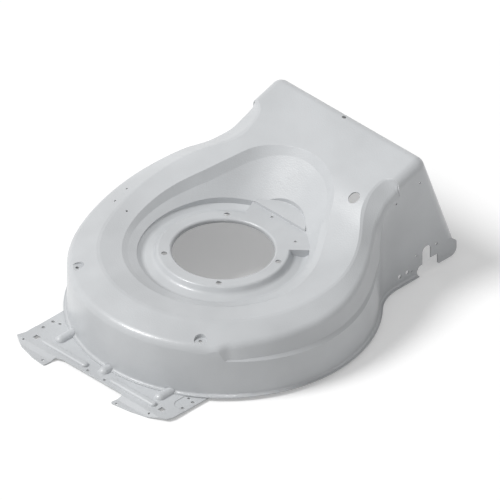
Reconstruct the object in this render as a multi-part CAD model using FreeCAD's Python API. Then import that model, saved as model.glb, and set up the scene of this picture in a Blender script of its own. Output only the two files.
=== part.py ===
"""Deck of a walk-behind lawn mower with rear discharge: a pressed steel shell and its front plate.

Millimetres. The origin is on the blade axis at the top of the engine seat, +Z up, -Y to the
front of the mower, +Y to the rear discharge, +X to the right-hand side seen from above with
the front down. One sheet is drawn into the blade chamber, the rising roof and the hood. The
shell is the difference of two closed bodies, the outer and the inner face of that sheet, which
the same functions build with an inset of nothing and of one sheet thickness.
"""
import FreeCAD, Part
import math
import os

Vec = FreeCAD.Vector

# Sheet and overall heights
SHEET = 2.0
RIM_BOTTOM = -121.0
ABOVE_ALL = 260.0
BELOW_ALL = -220.0

# Plan outline of the skirt
SKIRT_RADIUS = 267.0
HOOD_RIGHT = 170.0
HOOD_LEFT = -186.0
WAIST_RADIUS = 90.0
HOOD_START = 250.0
OVERRUN = 60.0

# Roof: flat in front, a volute that rises earlier on the left, then the plane of the hood
RISE_START = -100.0
RISE_END = 215.0
HOOD_SLOPE = 0.302
BEND_Y = 300.0
BEND_Z = 110.0
PROFILE_X = 200.0
ROOF_REACH = 340.0
LEFT_RISE = ((-46.0, 4.8), (-18.0, 10.0), (34.0, 24.0), (74.0, 37.5), (111.0, 53.0), (140.0, 65.0),
             (168.0, 74.5))
RIGHT_RISE = ((-45.0, 0.5), (5.0, 3.0), (50.0, 9.0), (90.0, 18.0), (131.0, 34.0), (163.0, 51.0),
              (192.0, 70.0))

# Sloping band and shoulder between the roof and the skirt; band tips as place along Y and width
BAND_DROP = 22.5
WALL_DROP = 32.0
SHOULDER_RADIUS = 16.0
SHOULDER_LEAN = 78.0
FRONT_BAND = 53.0
BAND_BLEND = 50.0
RIGHT_BAND_TIP = ((256.0, 8.0), (253.5, 15.0), (250.0, 22.0), (244.0, 27.0), (230.0, 30.0),
                  (210.0, 31.0))
LEFT_BAND_TIP = ((258.0, 8.0), (255.0, 14.0), (251.0, 21.5), (241.0, 32.5), (228.0, 39.0), (210.0, 45.0),
                 (190.0, 50.0))
BAND_OVERRUN = 14.0
BAND_OUTREACH = 40.0
CREST_BEVEL = 2.8
CREST_BEVEL_SHARE = 0.07

# Ledge pressed into the right side of the skirt: angle, depth of the wall over it, drop from the roof
LEDGE_OVERRUN = 5.0
LEDGE_LEAD = 10.0
LEDGE = ((-46.5, 0.0, 48.0), (-43.5, 5.4, 48.5), (-32.0, 8.4, 51.5), (-12.0, 10.8, 55.0), (5.0, 10.8, 56.0),
         (20.0, 10.8, 57.5), (32.0, 9.5, 57.5), (41.0, 7.0, 57.5), (44.0, 5.0, 57.5))
LEDGE_WAIST_END = 0.6

# How near a point has to be to count as lying on a line or a face
NEAR = 0.02

# Outward lip along the bottom of the skirt
LIP_WIDTH = 6.0
LIP_BEND = 4.0

# Hood: rounded top edges, leaning rear face with a return flange round the discharge mouth
HOOD_EDGE_RADIUS = 18.0
REAR_LEAN = 0.3614
REAR_Y = 326.5
REAR_Z = 94.7
REAR_ROLL = 17.0
MOUTH_FLANGE = 24.0
MOUTH_CORNER = 12.0

# Pocket in the roof round the engine seat; its wall as bearing, width and drop
POCKET_RADIUS = 173.3
POCKET_SPREAD = 0.6
POCKET_OVERREACH = 1.2
LOBE_RADIUS = 122.0
LOBE_CENTRE = (-5.0, 98.0)
POCKET_WALL = ((-90.0, 10.0, 3.9), (0.0, 10.0, 4.0), (18.0, 12.0, 6.0), (34.0, 13.5, 8.0),
               (48.0, 13.0, 11.0), (60.0, 11.0, 14.5), (68.0, 10.0, 16.5), (77.0, 10.0, 17.0),
               (85.0, 10.0, 16.0), (91.0, 10.0, 13.5), (97.0, 10.0, 12.8), (113.0, 10.0, 14.5),
               (121.0, 10.0, 17.0), (145.0, 10.0, 20.0), (160.0, 10.0, 17.5), (176.0, 10.0, 12.5),
               (192.0, 10.0, 8.0), (210.0, 10.0, 3.9))
BOWL_FOOT_RADIUS = 142.0
BOWL_FOOT_FRONT = -11.2
BOWL_FOOT_REAR = -4.5

# Engine seat: a raised ring with a turned-down lip round the crankshaft opening
BORE_RADIUS = 88.0
BORE_LIP_DEPTH = 8.0
BORE_LIP_BEND = 4.8
SEAT_RADIUS = 113.0
SEAT_FOOT_RADIUS = 119.5
SEAT_FOOT_Z = -11.5
GROOVE_RADIUS = 137.3
GROOVE_Z = -16.0
GROOVE_EDGE_RADIUS = 147.5
GROOVE_EDGE_Z = -8.9
SEAT_BEND = 5.0
SEAT_FOOT_BEND = 9.0
GROOVE_BEND = 8.0
SEAT_AIR_TOP = 60.0
ENGINE_HOLE_CIRCLE = 203.2
ENGINE_HOLE_RADIUS = 5.0
ENGINE_HOLE_ANGLES = (-127.2, -49.2, 22.8, 131.3)

# Pad beside the seat and the flat step behind it
PAD_FROM = 43.0
PAD_TO = 115.0
PAD_RADIUS = 152.0
FILL_BOTTOM = -28.0
STEP_Z = 6.0
STEP_FRONT_Y = 132.5
STEP_CENTRE = (5.5, 89.0)
STEP_RADIUS = 74.0
STEP_SLOPE = 0.17
PAD_HOLE_CIRCLE = 125.0
PAD_HOLE_RADIUS = 2.6
PAD_HOLE_ANGLES = (93.1, 54.3)

# Bolt pockets in the shoulder and single holes
SHOULDER_POCKET_RADIUS = 11.0
SHOULDER_POCKET_Z = -18.5
SHOULDER_POCKET_CIRCLE = 251.0
SHOULDER_POCKET_ANGLES = (-128.1, -53.9)
SHOULDER_POCKET_HOLE = 3.2

# Single holes through the roof: plan place and radius
ROOF_HOLES = ((125.0, 191.0, 10.0), (-230.0, -31.0, 2.0), (-235.0, 2.7, 2.0), (-189.9, -43.0, 2.0),
              (-17.0, 309.0, 4.0))

# Side plates: lower edge, open axle slot, heel behind the slot, and holes (y, z, radius)
SIDE_LIP_END = 298.0
SIDE_STEP_Z = -112.0
SIDE_FOOT_Y = 303.0
SIDE_FOOT_Z = -104.0
AXLE_SLOT_Y = 321.0
AXLE_SLOT_WIDTH = 20.0
AXLE_SLOT_TOP = -70.0
HOOK_Z = -99.0
HEEL_FRONT_Y = 348.0
HEEL_REAR_Y = 393.5
HEEL_TOP_Z = -84.0
HEEL_TOP_GAP = 9.5
HEEL_SHOULDER_Z = -94.0
HEEL_RADIUS = 14.0
SIDE_HOLES = ((256.1, -102.2, 4.0), (274.4, -102.4, 4.0), (284.8, -105.5, 1.6), (247.9, 53.9, 2.2),
              (304.6, 69.6, 2.2), (344.9, -77.6, 2.5), (296.4, -78.2, 2.5))

# Front plate under the lip, measured from the foremost point of the skirt
PLATE_SHEET = 2.5
PLATE_LEFT = -185.0
PLATE_RIGHT = 172.0
PLATE_FRONT = -37.0
PLATE_REAR = 167.0
PLATE_OVERLAP = 10.0
PLATE_CORNER_Y = -25.0
WING_DROP = 4.0
WING_DROP_START = -42.0
WING_DROP_END = -52.0
LEFT_WING = ((-190.0, -41.0, 2.0), (-165.0, -55.0, 12.0), (-129.0, -65.0, 40.0), (-98.0, -68.0, 3.0),
             (-96.0, -42.0, 6.0), (-82.0, -37.0, 8.0))
RIGHT_WING = ((56.0, -37.0, 3.0), (64.0, -42.0, 2.0), (60.0, -66.0, 3.0), (100.0, -60.5, 40.0),
              (137.0, -51.0, 40.0), (168.0, -36.0, 4.0))
RELIEF_HOLES = ((-173.0, -42.0, 2.0), (133.0, -45.0, 2.0))
BEADS = ((-146.0, -38.0), (20.0, 127.0))
BEAD_Y = -23.0
BEAD_WIDTH = 13.0
BEAD_HEIGHT = 5.0
BEAD_ROUND = 4.0
GUSSETS = ((-126.0, -10.0, 9.5), (-8.0, -23.0, 10.0), (114.0, -10.0, 9.5))
GUSSET_HEIGHT = 8.0
GUSSET_GAP = 0.3
GUSSET_RUN_OUT = 1.0
GUSSET_NOTCH_REAR = 70.0
PAD_DROP = 0.8
CORNER_PADS = ((-250.0, -152.0), (141.0, 250.0))
CORNER_PAD_FRONT = 0.0
CORNER_PAD_ROUND = 14.0
PLATE_HOLES = ((-29.5, -30.0, 2.8), (10.6, -30.0, 2.8), (-109.0, -59.0, 2.8), (71.0, -61.0, 2.8),
               (-174.0, 7.0, 3.2), (-174.0, 30.5, 3.2), (-161.0, 34.0, 2.6),
               (163.0, 6.0, 3.2), (163.0, 30.6, 3.2), (150.0, 34.0, 2.6))
SQUARE_HOLES = ((-161.0, -22.0), (141.5, -22.0))
SQUARE_HOLE_SIZE = 10.0


def polygon(points):
    """Closed wire through 3D points."""
    return Part.makePolygon(list(points) + [points[0]])


def prism(wire, height):
    """Solid made by extruding a flat closed wire upwards."""
    return Part.Face(wire).extrude(Vec(0, 0, height))


def box(x0, x1, y0, y1, z0, z1):
    return Part.makeBox(x1 - x0, y1 - y0, z1 - z0, Vec(x0, y0, z0))


def around(angle, radius, z=0.0):
    """Point on a circle round the blade axis."""
    turn = math.radians(angle)
    return Vec(radius * math.cos(turn), radius * math.sin(turn), z)


def waist_centre(side):
    """Centre of the concave blend between the round skirt and the hood side."""
    x = math.copysign(abs(side) + WAIST_RADIUS, side)
    y = math.sqrt((SKIRT_RADIUS + WAIST_RADIUS) ** 2 - x * x)
    return Vec(x, y, 0)


def skirt_wire(inset, rear, z):
    """Plan outline at height z, moved inwards by the inset and closed at y = rear."""
    radius = SKIRT_RADIUS - inset
    edges = []
    ends = []
    for side in (HOOD_RIGHT, HOOD_LEFT):
        centre = waist_centre(side)
        sign = math.copysign(1, side)
        blend = WAIST_RADIUS + inset
        out = centre * (1 / centre.Length)
        touch = out * radius
        corner = centre - Vec(sign * blend, 0, 0)
        half = ((touch - centre) * (1 / blend) + Vec(-sign, 0, 0))
        middle = centre + half * (blend / half.Length)
        back = Vec(corner.x, rear, 0)
        edges.append(Part.Arc(touch, middle, corner).toShape())
        edges.append(Part.LineSegment(corner, back).toShape())
        ends.append((touch, back))
    edges.append(Part.Arc(ends[0][0], Vec(0, -radius, 0), ends[1][0]).toShape())
    edges.append(Part.LineSegment(ends[0][1], ends[1][1]).toShape())
    wire = Part.Wire(Part.__sortEdges__(edges))
    wire.translate(Vec(0, 0, z))
    return wire


def hood_height(y):
    return BEND_Z + HOOD_SLOPE * (y - BEND_Y)


def rise_curve(points, x):
    """Smooth rise of the roof between the flat front and the plane of the hood, at one x."""
    through = [Vec(x, RISE_START, 0)]
    through += [Vec(x, y, z) for y, z in points]
    through.append(Vec(x, RISE_END, hood_height(RISE_END)))
    curve = Part.BSplineCurve()
    curve.interpolate(Points=through, InitialTangent=Vec(0, 1, 0), FinalTangent=Vec(0, 1, HOOD_SLOPE))
    return curve


def spread_rise():
    """Rise profiles moved out to both ends of the roof tool, straight across in between."""
    left = []
    right = []
    left_curve = rise_curve(LEFT_RISE, 0)
    right_curve = rise_curve(RIGHT_RISE, 0)
    stations = [y for y, z in LEFT_RISE]
    for y in stations:
        z_left = curve_height(left_curve, y)
        z_right = curve_height(right_curve, y)
        middle = (z_left + z_right) / 2
        swing = (z_left - z_right) / 2 * ROOF_REACH / PROFILE_X
        left.append((y, middle + swing))
        right.append((y, middle - swing))
    return rise_curve(left, -ROOF_REACH), rise_curve(right, ROOF_REACH)


def curve_height(curve, y):
    """Height of a rise curve at one y, found by halving its parameter range."""
    low = curve.FirstParameter
    high = curve.LastParameter
    for _ in range(40):
        middle = (low + high) / 2
        if curve.value(middle).y < y:
            low = middle
        else:
            high = middle
    return curve.value(low).z


RISE_LEFT, RISE_RIGHT = spread_rise()


def roof_height(x, y):
    """Height of the roof's outer face over a plan position."""
    if y <= RISE_START:
        return 0.0
    if y >= RISE_END:
        return hood_height(y)
    share = (x + ROOF_REACH) / (2 * ROOF_REACH)
    return (1 - share) * curve_height(RISE_LEFT, y) + share * curve_height(RISE_RIGHT, y)


def roof_air(inset):
    """Everything above the roof, lowered by the inset measured square to the hood."""
    drop = inset * math.sqrt(1 + HOOD_SLOPE ** 2)
    far = SKIRT_RADIUS + ROOF_REACH
    wires = []
    for curve in (RISE_LEFT, RISE_RIGHT):
        x = curve.StartPoint.x
        front = Vec(x, -far, 0)
        start = curve.StartPoint
        end = curve.EndPoint
        rear = Vec(x, far, hood_height(far))
        top_rear = Vec(x, far, ABOVE_ALL + far)
        top_front = Vec(x, -far, ABOVE_ALL + far)
        edges = [Part.LineSegment(front, start).toShape(), curve.toShape()]
        for a, b in ((end, rear), (rear, top_rear), (top_rear, top_front), (top_front, front)):
            edges.append(Part.LineSegment(a, b).toShape())
        wire = Part.Wire(edges)
        wire.translate(Vec(0, 0, -drop))
        wires.append(wire)
    return Part.makeLoft(wires, True, True)


def ease(share):
    """Smooth step from 0 to 1."""
    share = min(max(share, 0.0), 1.0)
    return share * share * (3 - 2 * share)


def between(table, place):
    """Values of a table at one place, on straight lines between its rows and level beyond them."""
    if place <= table[0][0]:
        return table[0][1:]
    for (p0, *before), (p1, *after) in zip(table, table[1:]):
        if place <= p1:
            share = (place - p0) / (p1 - p0)
            return [a + (b - a) * share for a, b in zip(before, after)]
    return table[-1][1:]


def spread(first, last, steps):
    """Evenly spaced values, both ends included."""
    return [first + (last - first) * i / steps for i in range(steps + 1)]


def band_stations():
    """Plan point, inward direction, band width, ledge depth and drop, right hood round to left."""
    ends = []
    plain = LEDGE[0][1:]
    sides = ((HOOD_RIGHT, RIGHT_BAND_TIP, LEDGE[-1][1:]), (HOOD_LEFT, LEFT_BAND_TIP, plain))
    for side, tips, ledge in sides:
        sign = math.copysign(1, side)
        centre = waist_centre(side)
        row = [(Vec(side, y, 0), Vec(-sign, 0, 0), width, *plain) for y, width in tips if y > centre.y]
        touch_angle = math.degrees(math.atan2(centre.y, abs(centre.x)))
        steps = 6
        for i in range(steps):
            turn = math.radians(touch_angle * i / steps)
            inward = Vec(-sign * math.cos(turn), -math.sin(turn), 0)
            spot = centre + inward * WAIST_RADIUS
            width, = between(tips[::-1], spot.y)
            share = ease((i / steps - 1 + LEDGE_WAIST_END) / LEDGE_WAIST_END)
            row.append((spot, inward, width, *between(((0.0, *plain), (1.0, *ledge)), share)))
        ends.append((row, touch_angle, tips[-1][1]))
    (right, first, right_waist), (left, left_touch, left_waist) = ends
    last = -180 - left_touch
    begin = LEDGE[0][0]
    angles = spread(first, begin + LEDGE_LEAD, 10) + spread(begin + 0.6 * LEDGE_LEAD, begin, 2)
    angles += spread(begin - 0.4 * LEDGE_LEAD, last, 22)
    ring = []
    for angle in angles:
        point = around(angle, SKIRT_RADIUS)
        width = FRONT_BAND + (right_waist - FRONT_BAND) * ease((angle - first) / BAND_BLEND + 1)
        width += (left_waist - FRONT_BAND) * ease((last - angle) / BAND_BLEND + 1)
        ring.append((point, point * (-1 / SKIRT_RADIUS), width, *between(LEDGE, angle)))
    return right + ring + left[::-1]


def band_section(point, inward, width, depth, ledge_drop, inset):
    """Section points of the air above the band and outside the wall: the shoulder has four."""
    crest = point + inward * width
    top = roof_height(crest.x, crest.y)
    slope = BAND_DROP / width
    lean = math.tan(math.radians(SHOULDER_LEAN))
    foot = top - WALL_DROP + slope * depth
    band_shift = inset * math.sqrt(1 + slope ** 2)
    wall_in = depth + inset * math.sqrt(1 + 1 / lean ** 2)
    ledge_z = top - ledge_drop - inset * math.sqrt(2)

    def on_band(d):
        return d, top - BAND_DROP + slope * d - band_shift

    def on_wall(d):
        return d, foot + lean * (d - wall_in)

    corner_d = (top - BAND_DROP - band_shift - foot + lean * wall_in) / (lean - slope)
    flat = math.atan(slope)
    steep = math.atan(lean)
    radius = SHOULDER_RADIUS - inset
    tangent = radius * math.tan((steep - flat) / 2)
    handle = radius * 4 / 3 * math.tan((steep - flat) / 4)
    start_d = corner_d + tangent * math.cos(flat)
    end_d = corner_d - tangent * math.cos(steep)
    ledge_d = (ledge_z - foot + lean * wall_in) / (lean - 1)
    low_d = min(ledge_d, 0.0) - LEDGE_OVERRUN
    bevel = min(CREST_BEVEL, CREST_BEVEL_SHARE * width)
    bevel_d = width - bevel
    bevel_end = on_band(bevel_d)[1] + math.tan(flat / 2) * (bevel + BAND_OVERRUN)
    path = [(width + BAND_OVERRUN, bevel_end), on_band(bevel_d), on_band(start_d),
            on_band(start_d - handle * math.cos(flat)), on_wall(end_d + handle * math.cos(steep)),
            on_wall(end_d), on_wall(ledge_d), (low_d, ledge_z + low_d), (-BAND_OUTREACH, ledge_z + low_d),
            (-BAND_OUTREACH, ABOVE_ALL), (width + BAND_OVERRUN, ABOVE_ALL)]
    return [point + inward * d + Vec(0, 0, z) for d, z in path]


def skin(curves):
    """Face over curves with equal knots, as one Bezier arc across them, or straight across two."""
    degree = len(curves) - 1
    along = curves[0]
    surface = Part.BSplineSurface()
    surface.buildFromPolesMultsKnots([curve.getPoles() for curve in curves], [degree + 1, degree + 1],
                                     along.getMultiplicities(), [0.0, 1.0], along.getKnots(),
                                     False, False, degree, along.Degree)
    return surface.toShape()


def end_cap(points, shoulder):
    """Flat end of the band tool, with the same shoulder arc as its skins."""
    arc = Part.BezierCurve()
    arc.setPoles(points[shoulder:shoulder + 4])
    edges = [arc.toShape()]
    rest = points[shoulder + 3:] + points[:shoulder + 1]
    edges += [Part.LineSegment(a, b).toShape() for a, b in zip(rest, rest[1:])]
    return Part.Face(Part.Wire(edges))


def band_air(inset):
    """Everything above the sloping band and outside the shoulder and the ledge."""
    sections = [band_section(*station, inset) for station in band_stations()]
    shares = [0.0]
    for (before, *_), (after, *_) in zip(band_stations(), band_stations()[1:]):
        shares.append(shares[-1] + (after - before).Length)
    curves = []
    for points in zip(*sections):
        curve = Part.BSplineCurve()
        curve.interpolate(Points=list(points), Parameters=shares)
        curves.append(curve)
    shoulder = 2
    faces = [skin(curves[shoulder:shoulder + 4])]
    rest = curves[shoulder + 3:] + curves[:shoulder + 1]
    faces += [skin(list(pair)) for pair in zip(rest, rest[1:])]
    faces += [end_cap(sections[0], shoulder), end_cap(sections[-1], shoulder)]
    shell = Part.makeShell(faces)
    shell.sewShape()
    return Part.makeSolid(shell)


def rear_y(z):
    """Place of the leaning rear face at one height."""
    return REAR_Y + (REAR_Z - z) * REAR_LEAN


def rear_air(inset):
    """Everything behind the leaning rear face of the hood."""
    shift = inset * math.sqrt(1 + REAR_LEAN ** 2)
    far = SKIRT_RADIUS + ROOF_REACH
    corners = [Vec(-far, rear_y(BELOW_ALL) - shift, BELOW_ALL), Vec(-far, far, BELOW_ALL),
               Vec(-far, far, ABOVE_ALL), Vec(-far, rear_y(ABOVE_ALL) - shift, ABOVE_ALL)]
    return Part.Face(polygon(corners)).extrude(Vec(2 * far, 0, 0))


def edges_where(shape, test):
    """Edges whose middle point passes the test."""
    found = []
    for edge in shape.Edges:
        middle = edge.valueAt((edge.FirstParameter + edge.LastParameter) / 2)
        if test(middle, edge):
            found.append(edge)
    return found


def hood_block(inset):
    """Skirt and roof as one closed block, its hood edges rounded along the sides and the rear."""
    block = prism(skirt_wire(inset, rear_y(BELOW_ALL) + OVERRUN, RIM_BOTTOM), ABOVE_ALL)
    block = block.cut(roof_air(inset)).cut(rear_air(inset))

    def on_side(p, edge):
        near = min(abs(p.x - HOOD_RIGHT + inset), abs(p.x - HOOD_LEFT - inset)) < NEAR
        return near and p.y > HOOD_START and p.z > RIM_BOTTOM + 1

    def on_rear(p, edge):
        return abs(p.y - rear_y(p.z)) < 3 * SHEET and p.z > RIM_BOTTOM + 1

    block = block.makeFillet(HOOD_EDGE_RADIUS - inset, edges_where(block, on_side))
    return block.makeFillet(REAR_ROLL - inset, edges_where(block, on_rear))


def unit(vector):
    return vector * (1 / vector.Length)


def rounded_wire(corners, place):
    """Closed wire through (a, b, radius) corners, put in space by the place function."""
    edges = []
    stops = []
    count = len(corners)
    for i, (a, b, radius) in enumerate(corners):
        corner = Vec(a, b, 0)
        before = unit(Vec(*corners[i - 1][:2], 0) - corner)
        after = unit(Vec(*corners[(i + 1) % count][:2], 0) - corner)
        if radius <= 0:
            stops.append((corner, None, corner))
            continue
        half = before.getAngle(after) / 2
        reach = radius / math.tan(half)
        middle = corner + unit(before + after) * (radius / math.sin(half) - radius)
        stops.append((corner + before * reach, middle, corner + after * reach))
    for i, (start, middle, end) in enumerate(stops):
        following = stops[(i + 1) % count][0]
        if middle is not None:
            points = [place(p.x, p.y) for p in (start, middle, end)]
            edges.append(Part.Arc(*points).toShape())
        if (following - end).Length > 1e-6:
            edges.append(Part.LineSegment(place(end.x, end.y), place(following.x, following.y)).toShape())
    return Part.Wire(edges)


def offset_path(points, distance):
    """Open path moved to its right-hand side by a distance, with mitred corners."""
    lines = []
    for (a0, b0), (a1, b1) in zip(points, points[1:]):
        along = unit(Vec(a1 - a0, b1 - b0, 0))
        right = Vec(along.y, -along.x, 0) * distance
        lines.append((Vec(a0, b0, 0) + right, along))
    moved = [lines[0][0]]
    for (start, along), (other, across) in zip(lines, lines[1:]):
        cross = along.x * across.y - along.y * across.x
        gap = other - start
        share = (gap.x * across.y - gap.y * across.x) / cross
        moved.append(start + along * share)
    last_start, last_along = lines[-1]
    length = (Vec(*points[-1], 0) - Vec(*points[-2], 0)).Length
    moved.append(last_start + last_along * length)
    return [(p.x, p.y) for p in moved]


def seat_air(inset):
    """Everything above the engine seat ring and its groove, and inside the crankshaft opening."""
    bore_end = BELOW_ALL if inset == 0 else -BORE_LIP_DEPTH
    path = [(BORE_RADIUS, bore_end), (BORE_RADIUS, 0.0), (SEAT_RADIUS, 0.0), (SEAT_FOOT_RADIUS, SEAT_FOOT_Z),
            (GROOVE_RADIUS, GROOVE_Z), (GROOVE_EDGE_RADIUS, GROOVE_EDGE_Z)]
    convex = -inset
    concave = inset
    radii = [0, BORE_LIP_BEND + convex, SEAT_BEND + convex, SEAT_FOOT_BEND + concave,
             GROOVE_BEND + concave, 0]
    corners = [(0.0, bore_end, 0)]
    corners += [(a, b, r) for (a, b), r in zip(offset_path(path, inset), radii)]
    corners += [(corners[-1][0], SEAT_AIR_TOP, 0), (0.0, SEAT_AIR_TOP, 0)]
    face = Part.Face(rounded_wire(corners, lambda r, z: Vec(r, 0, z)))
    return face.revolve(Vec(0, 0, 0), Vec(0, 0, 1), 360)


def pocket_outline():
    """Plan points and outward normals of the pocket rim: two circles and their tangents."""
    reach = math.hypot(*LOBE_CENTRE)
    tangent = math.degrees(math.asin((POCKET_RADIUS - LOBE_RADIUS) / reach))
    swing = math.degrees(math.atan2(LOBE_CENTRE[1], LOBE_CENTRE[0])) - 90
    rim = []
    front_steps = 30
    lobe_steps = 16
    straight_steps = 4
    for i in range(front_steps):
        rim.append((-180 - tangent + (180 + 2 * tangent) * i / front_steps, 0.0))
    for i in range(straight_steps):
        rim.append((tangent, i / straight_steps))
    for i in range(lobe_steps):
        rim.append((tangent + (180 - 2 * tangent) * i / lobe_steps, 1.0))
    for i in range(straight_steps):
        rim.append((180 - tangent, 1 - i / straight_steps))
    points = []
    for angle, share in rim:
        radius = POCKET_RADIUS + (LOBE_RADIUS - POCKET_RADIUS) * share
        points.append((around(angle + swing, radius) + Vec(*LOBE_CENTRE, 0) * share, around(angle + swing, 1.0)))
    return points


def closed_curve(points, shares):
    """Smooth closed wire through points, passed at the given shares of its parameter range."""
    curve = Part.BSplineCurve()
    curve.interpolate(Points=points, PeriodicFlag=True, Parameters=shares)
    return Part.Wire(curve.toShape())


def pocket_air(inset):
    """Everything above the bowl and the steep wall of the pocket, up to well over the roof."""
    rim = pocket_outline()
    shares = [0.0]
    for i in range(len(rim)):
        shares.append(shares[-1] + (rim[(i + 1) % len(rim)][0] - rim[i][0]).Length)
    foot_row = []
    wall_foot_row = []
    over_row = []
    top_row = []
    tilt = (BOWL_FOOT_REAR - BOWL_FOOT_FRONT) / (2 * BOWL_FOOT_RADIUS)
    middle_z = (BOWL_FOOT_REAR + BOWL_FOOT_FRONT) / 2
    for point, normal in rim:
        grow = normal * (POCKET_SPREAD * inset) - Vec(0, 0, inset)
        outward = unit(point)
        foot = outward * BOWL_FOOT_RADIUS + Vec(0, 0, middle_z)
        foot_row.append(foot + outward * (POCKET_SPREAD * inset) + Vec(0, 0, tilt * foot.y - inset))
        high = point + Vec(0, 0, roof_height(point.x, point.y))
        bearing = math.degrees(math.atan2(point.y, point.x))
        width, drop = between(POCKET_WALL, bearing if bearing > -90 else bearing + 360)
        low = high - normal * width - Vec(0, 0, drop)
        wall_foot_row.append(low + grow)
        over = high + (high - low) * POCKET_OVERREACH
        over_row.append(over + grow)
        top_row.append(Vec(over.x + grow.x, over.y + grow.y, ABOVE_ALL))
    wires = [closed_curve(row, shares) for row in (foot_row, wall_foot_row, over_row, top_row)]
    return Part.makeLoft(wires, True, True)


def sector(from_angle, to_angle, inner, outer, z0, z1):
    """Ring sector as a solid."""
    middle = (from_angle + to_angle) / 2
    a = around(from_angle, inner, z0)
    b = around(from_angle, outer, z0)
    c = around(to_angle, outer, z0)
    d = around(to_angle, inner, z0)
    edges = [Part.LineSegment(a, b).toShape(), Part.Arc(b, around(middle, outer, z0), c).toShape(),
             Part.LineSegment(c, d).toShape(), Part.Arc(d, around(middle, inner, z0), a).toShape()]
    return prism(Part.Wire(edges), z1 - z0)


def cylinder(x, y, z0, z1, radius):
    return Part.makeCylinder(radius, z1 - z0, Vec(x, y, z0))


def pad_fill(inset):
    """Metal of the pad that levels the groove beside the seat ring."""
    turn = math.degrees(inset / PAD_RADIUS)
    return sector(PAD_FROM + turn, PAD_TO - turn, SEAT_RADIUS - SHEET - SEAT_BEND, PAD_RADIUS,
                  FILL_BOTTOM, -inset)


def step_floor(y, inset):
    """Height of the sloping floor of the step behind the pad."""
    return STEP_Z + STEP_SLOPE * (y - STEP_FRONT_Y) - inset * math.sqrt(1 + STEP_SLOPE ** 2)


def step_region(inset, front, level):
    """Part of the step's disc behind a front line, between its floor and a level."""
    x, y = STEP_CENTRE
    radius = STEP_RADIUS + inset
    rear = y + 2 * radius
    corners = [(front, step_floor(front, inset), 0), (rear, step_floor(rear, inset), 0), (rear, level, 0),
               (front, level, 0)]
    return across(corners, x - 2 * radius, x + 2 * radius).common(cylinder(x, y, BELOW_ALL, ABOVE_ALL, radius))


def chamber(inset):
    """One face of the sheet as a closed block: hood, band, pocket, seat, pad and bolt pockets."""
    block = hood_block(inset).cut(band_air(inset))
    pocket = pocket_air(inset).cut(cylinder(0, 0, BELOW_ALL, -inset, GROOVE_RADIUS))
    block = block.cut(pocket).cut(seat_air(inset))
    block = block.fuse(pad_fill(inset))
    block = block.cut(step_region(inset, STEP_FRONT_Y - 3 * SHEET, SEAT_AIR_TOP))
    block = block.fuse(step_region(inset, STEP_FRONT_Y + inset, FILL_BOTTOM))
    for angle in SHOULDER_POCKET_ANGLES:
        spot = around(angle, SHOULDER_POCKET_CIRCLE)
        block = block.cut(cylinder(spot.x, spot.y, SHOULDER_POCKET_Z - inset, ABOVE_ALL,
                                   SHOULDER_POCKET_RADIUS + inset))
    return block


def hood_corner():
    """Point (y, z) where the roof plane of the hood would meet the leaning rear face."""
    level = BEND_Z - HOOD_SLOPE * BEND_Y
    y = (REAR_Y + (REAR_Z - level) * REAR_LEAN) / (1 + HOOD_SLOPE * REAR_LEAN)
    return y, hood_height(y)


def mouth_air():
    """Discharge mouth cut through the rear face, leaving its return flange."""
    corner_y, corner_z = hood_corner()
    left = HOOD_LEFT + MOUTH_FLANGE
    right = HOOD_RIGHT - MOUTH_FLANGE
    top = corner_z - MOUTH_FLANGE
    start = corner_y - MOUTH_FLANGE
    corners = [(left, BELOW_ALL, 0), (right, BELOW_ALL, 0), (right, top, MOUTH_CORNER), (left, top, MOUTH_CORNER)]
    wire = rounded_wire(corners, lambda x, z: Vec(x, start, z))
    return Part.Face(wire).extrude(Vec(0, ROOF_REACH, 0))


def across(corners, x0, x1):
    """Prism along X of a (y, z, radius) outline."""
    wire = rounded_wire(corners, lambda y, z: Vec(x0, y, z))
    return Part.Face(wire).extrude(Vec(x1 - x0, 0, 0))


def side_air():
    """What is cut from the lower rear edge of both side plates, axle slot included."""
    slot_front = AXLE_SLOT_Y - AXLE_SLOT_WIDTH / 2
    slot_rear = AXLE_SLOT_Y + AXLE_SLOT_WIDTH / 2
    slot_round = AXLE_SLOT_WIDTH * 0.49
    far = HEEL_REAR_Y + OVERRUN
    corners = [(SIDE_LIP_END, BELOW_ALL, 0), (SIDE_LIP_END, SIDE_STEP_Z, 2), (SIDE_FOOT_Y, SIDE_FOOT_Z, 4),
               (slot_front, SIDE_FOOT_Z, 0), (slot_front, AXLE_SLOT_TOP, slot_round),
               (slot_rear, AXLE_SLOT_TOP, slot_round), (slot_rear, HOOK_Z, 0), (far, HOOK_Z, 0),
               (far, BELOW_ALL, 0)]
    return across(corners, HOOD_LEFT - SHEET, HOOD_RIGHT + SHEET)


def heel(x0, x1):
    """Flat heel plate behind the axle slot."""
    top_rear = rear_y(HEEL_TOP_Z) - HEEL_TOP_GAP
    corners = [(HEEL_FRONT_Y, RIM_BOTTOM, 4), (HEEL_REAR_Y, RIM_BOTTOM, HEEL_RADIUS),
               (HEEL_REAR_Y, HEEL_SHOULDER_Z, HEEL_RADIUS / 2), (top_rear, HEEL_TOP_Z, 0),
               (top_rear - REAR_ROLL, HEEL_TOP_Z, 0), (HEEL_FRONT_Y, HOOK_Z + SHEET, 0)]
    return across(corners, x0, x1)


def lip():
    """Flat lip round the bottom of the skirt, overlapping the wall by half a sheet."""
    ring = prism(skirt_wire(-LIP_WIDTH, SIDE_LIP_END, RIM_BOTTOM), SHEET)
    return ring.cut(prism(skirt_wire(SHEET / 2, HEEL_REAR_Y, RIM_BOTTOM - SHEET), 4 * SHEET))


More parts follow.
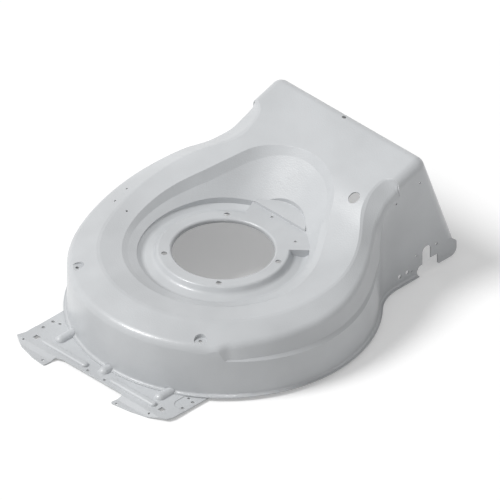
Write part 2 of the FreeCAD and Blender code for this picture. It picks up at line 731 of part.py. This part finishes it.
def on_skirt(p, inset):
    """Whether a point lies on the skirt outline moved in by the inset, in plan."""
    if p.y > SIDE_LIP_END - NEAR:
        return False
    if abs(math.hypot(p.x, p.y) - (SKIRT_RADIUS - inset)) < NEAR:
        return True
    for side in (HOOD_RIGHT, HOOD_LEFT):
        sign = math.copysign(1, side)
        centre = waist_centre(side)
        if abs(p.x - side + sign * inset) < NEAR:
            return True
        if abs(math.hypot(p.x - centre.x, p.y - centre.y) - (WAIST_RADIUS + inset)) < NEAR:
            return p.y < centre.y
    return False


def lip_flare():
    """Air that rounds the inner corner of the lip, so that the sheet keeps its thickness in the bend."""
    bend = LIP_BEND + SHEET
    rear = SIDE_LIP_END + bend
    foot = prism(skirt_wire(-2 * LIP_WIDTH, rear, RIM_BOTTOM - bend), bend)
    flare = foot.fuse(prism(skirt_wire(SHEET, rear, RIM_BOTTOM - bend), 2 * bend + SHEET)).removeSplitter()
    corner = edges_where(flare, lambda p, e: on_skirt(p, SHEET) and abs(p.z - RIM_BOTTOM) < NEAR)
    flare = flare.makeFillet(bend, corner)
    reach = 2 * SKIRT_RADIUS
    return flare.common(box(-reach, reach, -reach, SIDE_LIP_END, BELOW_ALL, RIM_BOTTOM + 2 * bend))


def gusset_hump(x, front, radius, rear, grow):
    """Half-round hump along Y on the front plate, its front end rounded."""
    base = RIM_BOTTOM
    size = radius + grow
    high = GUSSET_HEIGHT + grow
    sink = (size * size - high * high) / (2 * high)
    tube = math.hypot(size, sink)
    centre_z = base - sink
    barrel = Part.makeCylinder(tube, rear - front - radius, Vec(x, front + radius, centre_z), Vec(0, 1, 0))
    nose = Part.makeSphere(tube, Vec(x, front + radius, centre_z))
    hump = barrel.fuse(nose)
    return hump.cut(box(x - 2 * tube, x + 2 * tube, front - tube, rear + tube, base - 2 * tube, base - grow))


def drill_down(shape, holes):
    for x, y, radius in holes:
        shape = shape.cut(cylinder(x, y, BELOW_ALL, ABOVE_ALL, radius))
    return shape


def deck_shell():
    low = box(-ROOF_REACH, ROOF_REACH, -ROOF_REACH, HEEL_REAR_Y + OVERRUN, BELOW_ALL, RIM_BOTTOM)
    shell = chamber(0.0).cut(chamber(SHEET).fuse(low))
    shell = shell.cut(cylinder(0, 0, BELOW_ALL, -BORE_LIP_DEPTH, BORE_RADIUS + 2 * SHEET))
    shell = shell.cut(mouth_air()).cut(side_air())
    shell = shell.fuse(lip())
    outer = edges_where(shell, lambda p, e: on_skirt(p, 0) and abs(p.z - RIM_BOTTOM - SHEET) < NEAR)
    shell = shell.makeFillet(LIP_BEND, outer)
    shell = shell.cut(lip_flare())
    shell = shell.fuse(heel(HOOD_RIGHT - SHEET, HOOD_RIGHT)).fuse(heel(HOOD_LEFT, HOOD_LEFT + SHEET))
    for x, front, radius in GUSSETS:
        notch = gusset_hump(x, front, radius, GUSSET_NOTCH_REAR, GUSSET_GAP)
        shell = shell.cut(notch.translated(Vec(0, -SKIRT_RADIUS, 0)))
    holes = [(*around(a, ENGINE_HOLE_CIRCLE / 2)[:2], ENGINE_HOLE_RADIUS) for a in ENGINE_HOLE_ANGLES]
    holes += [(*around(a, PAD_HOLE_CIRCLE)[:2], PAD_HOLE_RADIUS) for a in PAD_HOLE_ANGLES]
    holes += [(*around(a, SHOULDER_POCKET_CIRCLE)[:2], SHOULDER_POCKET_HOLE) for a in SHOULDER_POCKET_ANGLES]
    shell = drill_down(shell, holes + list(ROOF_HOLES))
    for y, z, radius in SIDE_HOLES:
        reach = HOOD_RIGHT - HOOD_LEFT + 2 * SHEET
        shell = shell.cut(Part.makeCylinder(radius, reach, Vec(HOOD_LEFT - SHEET, y, z), Vec(1, 0, 0)))
    return shell


def plate_outline(z, height):
    """Plan outline of the front plate as a prism: arc under the skirt, square sides, two wings."""
    corners = [(PLATE_LEFT, PLATE_CORNER_Y, 0)] + list(LEFT_WING) + list(RIGHT_WING)
    corners += [(PLATE_RIGHT, PLATE_CORNER_Y, 3), (PLATE_RIGHT, PLATE_REAR, 0), (PLATE_LEFT, PLATE_REAR, 0)]
    blank = prism(rounded_wire(corners, lambda x, y: Vec(x, y, z)), height)
    return blank.cut(cylinder(0, SKIRT_RADIUS, z - 1, z + height + 1, SKIRT_RADIUS - PLATE_OVERLAP))


def joggled_sheet():
    """Sheet that lies under the lip and steps down at the front for the wings."""
    top = RIM_BOTTOM
    far = PLATE_FRONT - OVERRUN
    path = [(far, top - WING_DROP), (WING_DROP_END, top - WING_DROP), (WING_DROP_START, top), (PLATE_REAR, top)]
    under = offset_path(path, PLATE_SHEET)
    bend = PLATE_SHEET
    radii = [0, bend * 2, bend, 0]
    under_radii = [0, bend, bend * 2, 0]
    corners = [(a, b, r) for (a, b), r in zip(path, radii)]
    corners += [(a, b, r) for (a, b), r in zip(under[::-1], under_radii[::-1])]
    return across(corners, PLATE_LEFT - OVERRUN, PLATE_RIGHT + OVERRUN)


def bead(x0, x1, inset):
    """Long pressed bead with round ends and a rounded top."""
    radius = BEAD_WIDTH / 2 - inset
    a = x0 + BEAD_WIDTH / 2
    b = x1 - BEAD_WIDTH / 2
    z0 = RIM_BOTTOM - PLATE_SHEET
    height = PLATE_SHEET + BEAD_HEIGHT - inset
    body = cylinder(a, BEAD_Y, z0, z0 + height, radius).fuse(cylinder(b, BEAD_Y, z0, z0 + height, radius))
    body = body.fuse(box(a, b, BEAD_Y - radius, BEAD_Y + radius, z0, z0 + height)).removeSplitter()
    rim = edges_where(body, lambda p, e: abs(p.z - z0 - height) < NEAR)
    return body.makeFillet(BEAD_ROUND - inset, rim)


def corner_pad(x0, x1, z, height):
    """Pressed corner of the front plate, with one rounded corner inside the plate."""
    inner = x0 if x0 > 0 else x1
    outer = x1 if x0 > 0 else x0
    corners = [(outer, CORNER_PAD_FRONT, 0), (inner, CORNER_PAD_FRONT, CORNER_PAD_ROUND),
               (inner, PLATE_REAR + OVERRUN, 0), (outer, PLATE_REAR + OVERRUN, 0)]
    return prism(rounded_wire(corners, lambda x, y: Vec(x, y, z)), height)


def front_plate():
    thick = PLATE_SHEET + WING_DROP + 1
    outline = plate_outline(RIM_BOTTOM - thick, thick)
    plate = joggled_sheet()
    for x0, x1 in CORNER_PADS:
        plate = plate.fuse(corner_pad(x0, x1, RIM_BOTTOM - PLATE_SHEET - PAD_DROP, PLATE_SHEET))
        plate = plate.cut(corner_pad(x0, x1, RIM_BOTTOM - PAD_DROP, PLATE_SHEET))
    plate = plate.common(outline)
    humps = [(bead(x0, x1, 0), bead(x0, x1, PLATE_SHEET)) for x0, x1 in BEADS]
    inner = SKIRT_RADIUS - PLATE_OVERLAP
    for x, front, radius in GUSSETS:
        rear = SKIRT_RADIUS - math.sqrt(inner ** 2 - x * x) + GUSSET_RUN_OUT
        under = gusset_hump(x, front, radius, rear + PLATE_OVERLAP, -PLATE_SHEET)
        humps.append((gusset_hump(x, front, radius, rear, 0), under))
    for outside, inside in humps:
        plate = plate.fuse(outside).cut(inside)
    plate = drill_down(plate, PLATE_HOLES + RELIEF_HOLES)
    half = SQUARE_HOLE_SIZE / 2
    for x, y in SQUARE_HOLES:
        plate = plate.cut(box(x - half, x + half, y - half, y + half, BELOW_ALL, 0))
    return plate.removeSplitter().translated(Vec(0, -SKIRT_RADIUS, 0))


def write(name, shape):
    """Report one piece and write its file."""
    print(name, shape.isValid(), len(shape.Solids), round(shape.Volume), len(shape.Faces))
    solids = shape.Solids
    (solids[0] if len(solids) == 1 else shape).exportStep("parts/%s.step" % name)


if __name__ == "__main__":
    os.makedirs("parts", exist_ok=True)
    write("front_plate", front_plate())
    write("deck_shell", deck_shell())
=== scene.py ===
"""Looks of a lawn mower deck: powder-coated steel, seam welds, studio floor and camera.

Metres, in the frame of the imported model: blade axis on Z, front of the mower towards -Y.
"""

import math

import bpy
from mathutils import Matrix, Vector


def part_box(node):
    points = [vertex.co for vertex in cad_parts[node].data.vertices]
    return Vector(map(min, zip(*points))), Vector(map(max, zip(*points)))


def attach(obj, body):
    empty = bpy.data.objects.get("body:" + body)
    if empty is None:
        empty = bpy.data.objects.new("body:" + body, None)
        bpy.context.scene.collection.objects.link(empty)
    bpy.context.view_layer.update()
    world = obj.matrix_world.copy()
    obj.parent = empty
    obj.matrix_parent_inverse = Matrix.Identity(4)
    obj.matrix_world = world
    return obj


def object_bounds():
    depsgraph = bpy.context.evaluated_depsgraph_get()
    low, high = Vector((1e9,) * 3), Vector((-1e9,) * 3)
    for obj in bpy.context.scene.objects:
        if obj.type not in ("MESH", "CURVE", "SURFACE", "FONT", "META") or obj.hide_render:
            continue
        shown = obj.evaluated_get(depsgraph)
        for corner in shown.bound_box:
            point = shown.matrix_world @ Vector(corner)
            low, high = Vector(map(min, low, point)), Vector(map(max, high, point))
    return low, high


bl_info = {
    "name": "Lawn mower deck",
    "version": (1, 0, 0),
    "blender": (4, 5, 0),
    "location": "3D View > Sidebar > Deck",
    "description": "Finishes a pressed steel mower deck: coating, seam welds and studio",
    "category": "Object",
}

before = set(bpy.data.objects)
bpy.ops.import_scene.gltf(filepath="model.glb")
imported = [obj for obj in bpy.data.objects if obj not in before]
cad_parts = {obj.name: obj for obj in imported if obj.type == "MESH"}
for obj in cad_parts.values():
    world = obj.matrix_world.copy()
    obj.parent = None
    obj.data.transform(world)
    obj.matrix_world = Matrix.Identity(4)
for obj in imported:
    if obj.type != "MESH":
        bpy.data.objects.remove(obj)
CAD_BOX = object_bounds()
BODY = "root"
SHELL = "deck_shell"
PLATE = "front_plate"


class Wire:
    """A node's output with arithmetic: an expression on wires adds its Math nodes."""

    def __init__(self, graph, socket):
        self.graph = graph
        self.socket = socket

    def sibling(self, name):
        """Another output of the same node."""
        return Wire(self.graph, self.socket.node.outputs[name])

    def _math(self, operation, *values):
        return self.graph.node("ShaderNodeMath", {"operation": operation}, dict(enumerate(values)))

    def __add__(self, other):
        return self._math("ADD", self, other)

    def __sub__(self, other):
        return self._math("SUBTRACT", self, other)

    def __rsub__(self, other):
        return self._math("SUBTRACT", other, self)

    def __mul__(self, other):
        return self._math("MULTIPLY", self, other)

    __radd__ = __add__
    __rmul__ = __mul__

    def ramp(self, low, high):
        """0 below low, 1 above high, smooth in between."""
        settings = {"interpolation_type": "SMOOTHSTEP"}
        inputs = {"Value": self, "From Min": low, "From Max": high}
        return self.graph.node("ShaderNodeMapRange", settings, inputs)


class Graph:
    """A node tree that is emptied and filled by one method."""

    def __init__(self, tree):
        self.tree = tree
        tree.nodes.clear()

    def node(self, kind, settings=None, inputs=None, output=0):
        """Adds a node, sets it, feeds its sockets with values or wires, returns one output."""
        node = self.tree.nodes.new(kind)
        for name, value in (settings or {}).items():
            setattr(node, name, value)
        for key, value in (inputs or {}).items():
            socket = node.inputs[key]
            if isinstance(value, Wire):
                self.tree.links.new(value.socket, socket)
            else:
                socket.default_value = value
        if not node.outputs:
            return None
        return Wire(self, node.outputs[output])

    def mix_colour(self, share, first, second):
        """Colour between two colours; inputs 6 and 7 are the node's colour pair."""
        settings = {"data_type": "RGBA"}
        return self.node("ShaderNodeMix", settings, {0: share, 6: first, 7: second}, output=2)

    def noise(self, place, scale, detail):
        """Smooth noise between 0 and 1, with its scale per metre."""
        return self.node("ShaderNodeTexNoise", {}, {"Vector": place, "Scale": scale, "Detail": detail})


def rgba(colour, factor=1.0):
    """Opaque colour, made lighter or darker by a factor."""
    return (*(channel * factor for channel in colour), 1.0)


class DeckCoating(bpy.types.PropertyGroup):
    """Powder coating on both sheets."""

    colour: bpy.props.FloatVectorProperty(
        name="Colour", description="Colour of the powder coating", subtype="COLOR",
        size=3, min=0, max=1, default=(0.56, 0.575, 0.59))
    roughness: bpy.props.FloatProperty(
        name="Roughness", description="Roughness of the satin surface", min=0, max=1, default=0.36)
    gloss: bpy.props.FloatProperty(
        name="Gloss", description="Share of the smooth skin over the coating", min=0, max=1,
        default=0.25)
    tone_spread: bpy.props.FloatProperty(
        name="Tone spread", description="Share by which the tone drifts over the sheet",
        min=0, max=0.5, default=0.06)
    peel_size: bpy.props.FloatProperty(
        name="Orange peel size", description="Size of one dimple of the coating",
        subtype="DISTANCE", min=0.0002, default=0.0025)
    peel_depth: bpy.props.FloatProperty(
        name="Orange peel depth", description="Depth of the dimples",
        subtype="DISTANCE", min=0, default=0.00025)
    ripple_size: bpy.props.FloatProperty(
        name="Press ripple size", description="Size of the soft waves that the press leaves",
        subtype="DISTANCE", min=0.005, default=0.045)
    ripple_depth: bpy.props.FloatProperty(
        name="Press ripple depth", description="Depth of those waves",
        subtype="DISTANCE", min=0, default=0.0006)
    edge_width: bpy.props.FloatProperty(
        name="Edge width", description="Reach of the rounding and of the thin coating at an edge",
        subtype="DISTANCE", min=0.0001, default=0.0008)


class DeckWelds(bpy.types.PropertyGroup):
    """Seam welds between the skirt and the front plate."""

    stitch_length: bpy.props.FloatProperty(
        name="Stitch length", description="Length of one seam weld", subtype="DISTANCE",
        min=0.005, default=0.024)
    bead_radius: bpy.props.FloatProperty(
        name="Bead radius", description="Radius of the weld bead", subtype="DISTANCE",
        min=0.0005, default=0.0022)
    pitch: bpy.props.FloatProperty(
        name="Ripple pitch", description="Distance between two ripples of the bead",
        subtype="DISTANCE", min=0.0003, default=0.0013)


class DeckStage(bpy.types.PropertyGroup):
    """Floor, light and camera."""

    azimuth: bpy.props.FloatProperty(
        name="Azimuth", description="Turn of the camera round the deck", subtype="ANGLE",
        default=math.radians(45))
    elevation: bpy.props.FloatProperty(
        name="Elevation", description="Camera's angle above the floor", subtype="ANGLE",
        default=math.atan(math.sqrt(0.5)))
    picture_width: bpy.props.FloatProperty(
        name="Picture width", description="Width that the camera takes in", subtype="DISTANCE",
        min=0.1, default=0.8536)
    shift_right: bpy.props.FloatProperty(
        name="Aim right", description="Where the camera aims, to the right of the blade axis",
        subtype="DISTANCE", default=0.0457)
    shift_up: bpy.props.FloatProperty(
        name="Aim up", description="Where the camera aims, above the engine seat",
        subtype="DISTANCE", default=-0.0026)
    floor_colour: bpy.props.FloatVectorProperty(
        name="Floor colour", description="Colour of the floor", subtype="COLOR",
        size=3, min=0, max=1, default=(0.8, 0.8, 0.8))
    floor_lift: bpy.props.FloatProperty(
        name="Floor lift", description="Glow added where the floor is seen, to make it white",
        min=0, max=1, default=0.28)
    ambient: bpy.props.FloatProperty(
        name="Ambient", description="Strength of the light from all round", min=0, default=0.39)
    key_strength: bpy.props.FloatProperty(
        name="Key strength", description="Strength of the soft main light", min=0, default=2.25)
    key_spread: bpy.props.FloatProperty(
        name="Key spread", description="Angle that the main light fills, for soft shadows",
        subtype="ANGLE", default=math.radians(22))


# Patterns of the coating: scale per metre and detail of the noise, which swings round its middle
TONE_NOISE = (7.0, 3.0)
SPECK_NOISE = (160.0, 2.0)
SURFACE_DETAIL = 1.0
NOISE_MIDDLE = 0.5

# Where each pattern starts and ends to show
TONE_RANGE = (0.3, 0.7)
SPECK_RANGE = (0.42, 0.62)
EDGE_RANGE = (0.02, 0.25)

# Edges, where the coating is thin and a little rubbed
RUBBED_SHARE = 0.5
RUBBED_TONE = 1.25
EDGE_POLISH = 0.08
EDGE_SAMPLES = 6

# Roughness: how it drifts with the tone and the specks, and the smooth skin over the coating
ROUGHNESS_DRIFT = 0.1
ROUGHNESS_GRAIN = 0.08
SKIN_ROUGHNESS = 0.12
COATING_IOR = 1.5

# Shift of the patterns along X, so that the pieces differ
SHELL_SHIFT = 0.0
PLATE_SHIFT = 3.0
WELD_SHIFT = 6.0


def coated_steel(name, coating, shift):
    """Powder coat with orange peel, soft press ripples, tone drift and thinner coating on edges."""
    material = bpy.data.materials.new(name)
    material.use_nodes = True
    graph = Graph(material.node_tree)
    place = graph.node("ShaderNodeTexCoord", output="Object")
    moved = graph.node("ShaderNodeMapping", {}, {"Vector": place, "Location": (shift, 0.0, 0.0)})
    tone = graph.noise(moved, *TONE_NOISE)
    speck = graph.noise(moved, *SPECK_NOISE)
    peel = graph.noise(moved, 1 / coating.peel_size, SURFACE_DETAIL)
    ripple = graph.noise(moved, 1 / coating.ripple_size, SURFACE_DETAIL)
    rounded = graph.node("ShaderNodeBevel", {"samples": EDGE_SAMPLES}, {"Radius": coating.edge_width})
    unrounded = graph.node("ShaderNodeNewGeometry", output="Normal")
    facing = graph.node("ShaderNodeVectorMath", {"operation": "DOT_PRODUCT"},
                        {0: rounded, 1: unrounded}, output="Value")
    edge = (1 - facing).ramp(*EDGE_RANGE)
    darker = rgba(coating.colour, 1 - coating.tone_spread)
    lighter = rgba(coating.colour, 1 + coating.tone_spread)
    even = graph.mix_colour(tone.ramp(*TONE_RANGE), darker, lighter)
    rubbed = edge * speck.ramp(*SPECK_RANGE) * RUBBED_SHARE
    colour = graph.mix_colour(rubbed, even, rgba(coating.colour, RUBBED_TONE))
    uneven = ROUGHNESS_DRIFT * (tone - NOISE_MIDDLE) + ROUGHNESS_GRAIN * (speck - NOISE_MIDDLE)
    roughness = coating.roughness + uneven - EDGE_POLISH * edge
    height = peel * (coating.peel_depth / coating.ripple_depth) + ripple
    bump = graph.node("ShaderNodeBump", {},
                      {"Strength": 1.0, "Distance": coating.ripple_depth,
                       "Height": height, "Normal": rounded})
    shader = graph.node("ShaderNodeBsdfPrincipled", {},
                        {"Base Color": colour, "Roughness": roughness, "Normal": bump,
                         "IOR": COATING_IOR, "Coat Weight": coating.gloss,
                         "Coat Roughness": SKIN_ROUGHNESS})
    graph.node("ShaderNodeOutputMaterial", {}, {"Surface": shader})
    return material


def dress_node(name, material):
    """Puts one material on a CAD node."""
    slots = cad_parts[name].data.materials
    slots.clear()
    slots.append(material)


class DECK_OT_coat_shell(bpy.types.Operator):
    """Coats the pressed shell"""

    bl_idname = "deck.coat_shell"
    bl_label = "Coat the shell"

    def execute(self, context):
        dress_node(SHELL, coated_steel("shell_coating", context.scene.deck_coating, SHELL_SHIFT))
        return {"FINISHED"}


class DECK_OT_coat_plate(bpy.types.Operator):
    """Coats the front plate"""

    bl_idname = "deck.coat_plate"
    bl_label = "Coat the front plate"

    def execute(self, context):
        dress_node(PLATE, coated_steel("plate_coating", context.scene.deck_coating, PLATE_SHIFT))
        return {"FINISHED"}


# Seam welds: their circle inside the skirt, height above the plate, middles in degrees, steps of an arc
SEAM_RADIUS = 0.2675
SEAM_LIFT = 0.0012
SEAM_ANGLES = (-129.0, -111.5, -99.0, -84.0, -72.0, -54.0)
SEAM_STEPS = 12

# One ripple of a bead: faces round it and along it, and how its size varies
RIPPLE_SEGMENTS = 10
RIPPLE_RINGS = 6
RIPPLE_SMALLEST = (0.9, 0.9, 0.75)
RIPPLE_LARGEST = (1.08, 1.08, 0.95)
RIPPLE_SEED = 4

# Inputs of the node tree: the paths of the beads, their radius, the step between ripples, the seed
SEAM_INPUTS = {"Geometry": "NodeSocketGeometry", "Radius": "NodeSocketFloat",
               "Pitch": "NodeSocketFloat", "Seed": "NodeSocketInt"}


def seam_tree(material):
    """Node tree that strings bead ripples along the edges of its input mesh."""
    tree = bpy.data.node_groups.new("seam_weld", "GeometryNodeTree")
    for name, kind in SEAM_INPUTS.items():
        tree.interface.new_socket(name, in_out="INPUT", socket_type=kind)
    tree.interface.new_socket("Geometry", in_out="OUTPUT", socket_type="NodeSocketGeometry")
    graph = Graph(tree)
    path = graph.node("NodeGroupInput", output="Geometry")
    curve = graph.node("GeometryNodeMeshToCurve", {}, {"Mesh": path})
    points = graph.node("GeometryNodeCurveToPoints", {"mode": "LENGTH"},
                        {"Curve": curve, "Length": path.sibling("Pitch")})
    ripple = graph.node("GeometryNodeMeshUVSphere", {},
                        {"Segments": RIPPLE_SEGMENTS, "Rings": RIPPLE_RINGS, "Radius": 1.0})
    spread = graph.node("FunctionNodeRandomValue", {"data_type": "FLOAT_VECTOR"},
                        {"Min": RIPPLE_SMALLEST, "Max": RIPPLE_LARGEST, "Seed": path.sibling("Seed")})
    scale = graph.node("ShaderNodeVectorMath", {"operation": "SCALE"},
                       {0: spread, "Scale": path.sibling("Radius")})
    placed = graph.node("GeometryNodeInstanceOnPoints", {},
                        {"Points": points, "Instance": ripple,
                         "Rotation": points.sibling("Rotation"), "Scale": scale})
    solid = graph.node("GeometryNodeRealizeInstances", {}, {"Geometry": placed})
    smooth = graph.node("GeometryNodeSetShadeSmooth", {}, {"Geometry": solid})
    done = graph.node("GeometryNodeSetMaterial", {}, {"Geometry": smooth, "Material": material})
    graph.node("NodeGroupOutput", {}, {"Geometry": done})
    return tree


def seam_paths(height, length):
    """Mesh of short arcs that the welds follow."""
    points = []
    edges = []
    half = length / SEAM_RADIUS / 2
    for angle in SEAM_ANGLES:
        for i in range(SEAM_STEPS + 1):
            turn = math.radians(angle) + half * (2 * i / SEAM_STEPS - 1)
            if i:
                edges.append((len(points) - 1, len(points)))
            points.append((SEAM_RADIUS * math.cos(turn), SEAM_RADIUS * math.sin(turn), height))
    mesh = bpy.data.meshes.new("seam_paths")
    mesh.from_pydata(points, edges, [])
    return mesh


def node_modifier(piece, tree, values):
    """Adds a Geometry Nodes modifier and sets its inputs by their identifiers."""
    modifier = piece.modifiers.new(tree.name, "NODES")
    modifier.node_group = tree
    for item in tree.interface.items_tree:
        if item.in_out == "INPUT" and item.name in values:
            modifier[item.identifier] = values[item.name]


def baked_copy(source, name):
    """Plain mesh object made from a modified one, which is removed."""
    graph = bpy.context.evaluated_depsgraph_get()
    mesh = bpy.data.meshes.new_from_object(source.evaluated_get(graph), depsgraph=graph)
    mesh.name = name
    piece = bpy.data.objects.new(name, mesh)
    bpy.context.scene.collection.objects.link(piece)
    bpy.data.objects.remove(source)
    return piece


class DECK_OT_seam_welds(bpy.types.Operator):
    """Welds the front plate to the skirt, on the inside"""

    bl_idname = "deck.seam_welds"
    bl_label = "Make the seam welds"

    def execute(self, context):
        welds = context.scene.deck_welds
        plate_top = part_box(SHELL)[0].z
        paths = seam_paths(plate_top + SEAM_LIFT, welds.stitch_length)
        source = bpy.data.objects.new("seam_source", paths)
        context.scene.collection.objects.link(source)
        material = coated_steel("weld_coating", context.scene.deck_coating, WELD_SHIFT)
        values = {"Radius": welds.bead_radius, "Pitch": welds.pitch, "Seed": RIPPLE_SEED}
        node_modifier(source, seam_tree(material), values)
        piece = baked_copy(source, "seam_welds")
        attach(piece, BODY)
        return {"FINISHED"}


# Stage: where the main light shines to, the floor, and how far off the camera stands and sees
KEY_DIRECTION = (0.9, 1.3, -1.9)
FLOOR_ROUGHNESS = 0.9
FLOOR_REACH = 6.0
CAMERA_DISTANCE = 2.5
CAMERA_CLIP = (0.05, 20.0)
BLACK = (0.0, 0.0, 0.0)
WHITE = (1.0, 1.0, 1.0)


def seen_as_backdrop(graph):
    """1 on rays from the camera, mirrors and glass, 0 on those that light the deck."""
    direct, mirrored, through = (graph.node("ShaderNodeLightPath", output=f"Is {kind} Ray")
                                 for kind in ("Camera", "Glossy", "Transmission"))
    return direct + mirrored + through


def floor_paint(colour, lift):
    """Matt floor that takes the shadow, and that is seen a little brighter than it is lit."""
    material = bpy.data.materials.new("floor_paint")
    material.use_nodes = True
    graph = Graph(material.node_tree)
    glow = graph.mix_colour(seen_as_backdrop(graph), rgba(BLACK), rgba(WHITE, lift))
    shader = graph.node("ShaderNodeBsdfPrincipled", {},
                        {"Base Color": rgba(colour), "Roughness": FLOOR_ROUGHNESS,
                         "Specular IOR Level": 0.0, "Emission Color": glow, "Emission Strength": 1.0})
    graph.node("ShaderNodeOutputMaterial", {}, {"Surface": shader})
    return material


def studio_world(ambient):
    """Even light from all round, which camera, mirror and glass rays see as white."""
    world = bpy.data.worlds.new("studio")
    bpy.context.scene.world = world
    world.use_nodes = True
    graph = Graph(world.node_tree)
    light = graph.node("ShaderNodeBackground", {}, {"Color": rgba(WHITE), "Strength": ambient})
    backdrop = graph.node("ShaderNodeBackground", {}, {"Color": rgba(WHITE), "Strength": 1.0})
    mixed = graph.node("ShaderNodeMixShader", {}, {0: seen_as_backdrop(graph), 1: light, 2: backdrop})
    graph.node("ShaderNodeOutputWorld", {}, {"Surface": mixed})


def key_light(towards, strength, spread):
    """Soft light from one side, equally strong over the whole floor."""
    light = bpy.data.lights.new("key_light", "SUN")
    light.energy = strength
    light.angle = spread
    holder = bpy.data.objects.new("key_light", light)
    holder.rotation_euler = Vector(towards).to_track_quat("-Z", "Y").to_euler()
    bpy.context.scene.collection.objects.link(holder)


def floor(height, material):
    """Square floor at the given height."""
    mesh = bpy.data.meshes.new("floor")
    signs = ((-1, -1), (1, -1), (1, 1), (-1, 1))
    corners = [(x * FLOOR_REACH, y * FLOOR_REACH, height) for x, y in signs]
    mesh.from_pydata(corners, [], [(0, 1, 2, 3)])
    mesh.materials.append(material)
    piece = bpy.data.objects.new("floor", mesh)
    bpy.context.scene.collection.objects.link(piece)


def camera(stage):
    """Parallel camera at the drawing's angle."""
    turn = stage.azimuth
    rise = stage.elevation
    back = Vector((math.sin(turn) * math.cos(rise), -math.cos(turn) * math.cos(rise), math.sin(rise)))
    right = Vector((math.cos(turn), math.sin(turn), 0))
    aim = right * stage.shift_right + back.cross(right) * stage.shift_up
    data = bpy.data.cameras.new("camera")
    data.type = "ORTHO"
    data.ortho_scale = stage.picture_width
    data.clip_start, data.clip_end = CAMERA_CLIP
    holder = bpy.data.objects.new("camera", data)
    holder.rotation_mode = "QUATERNION"
    holder.rotation_quaternion = (-back).to_track_quat("-Z", "Y")
    holder.location = aim + back * CAMERA_DISTANCE
    bpy.context.scene.collection.objects.link(holder)
    bpy.context.scene.camera = holder


class DECK_OT_stage(bpy.types.Operator):
    """Sets up the floor, the light and the camera"""

    bl_idname = "deck.stage"
    bl_label = "Set up the stage"

    def execute(self, context):
        stage = context.scene.deck_stage
        context.scene.view_settings.view_transform = "Standard"
        studio_world(stage.ambient)
        floor(CAD_BOX[0].z, floor_paint(stage.floor_colour, stage.floor_lift))
        key_light(KEY_DIRECTION, stage.key_strength, stage.key_spread)
        camera(stage)
        return {"FINISHED"}


class DECK_PT_deck(bpy.types.Panel):
    """Sizes, colours and steps of the deck"""

    bl_idname = "DECK_PT_deck"
    bl_label = "Mower deck"
    bl_space_type = "VIEW_3D"
    bl_region_type = "UI"
    bl_category = "Deck"

    def draw(self, context):
        for group_name, group_type in GROUPS.items():
            box = self.layout.box()
            for name in group_type.__annotations__:
                box.prop(getattr(context.scene, group_name), name)
        for operator in OPERATORS:
            self.layout.operator(operator.bl_idname)


OPERATORS = (DECK_OT_coat_shell, DECK_OT_coat_plate, DECK_OT_seam_welds, DECK_OT_stage)
CLASSES = (DeckCoating, DeckWelds, DeckStage, *OPERATORS, DECK_PT_deck)
GROUPS = {"deck_coating": DeckCoating, "deck_welds": DeckWelds, "deck_stage": DeckStage}


def register():
    for item in CLASSES:
        bpy.utils.register_class(item)
    for name, group in GROUPS.items():
        setattr(bpy.types.Scene, name, bpy.props.PointerProperty(type=group))


def unregister():
    for name in GROUPS:
        delattr(bpy.types.Scene, name)
    for item in reversed(CLASSES):
        bpy.utils.unregister_class(item)


def main():
    register()
    bpy.ops.deck.coat_shell()
    bpy.ops.deck.coat_plate()
    bpy.ops.deck.seam_welds()
    bpy.ops.deck.stage()


if __name__ == "__main__":
    main()
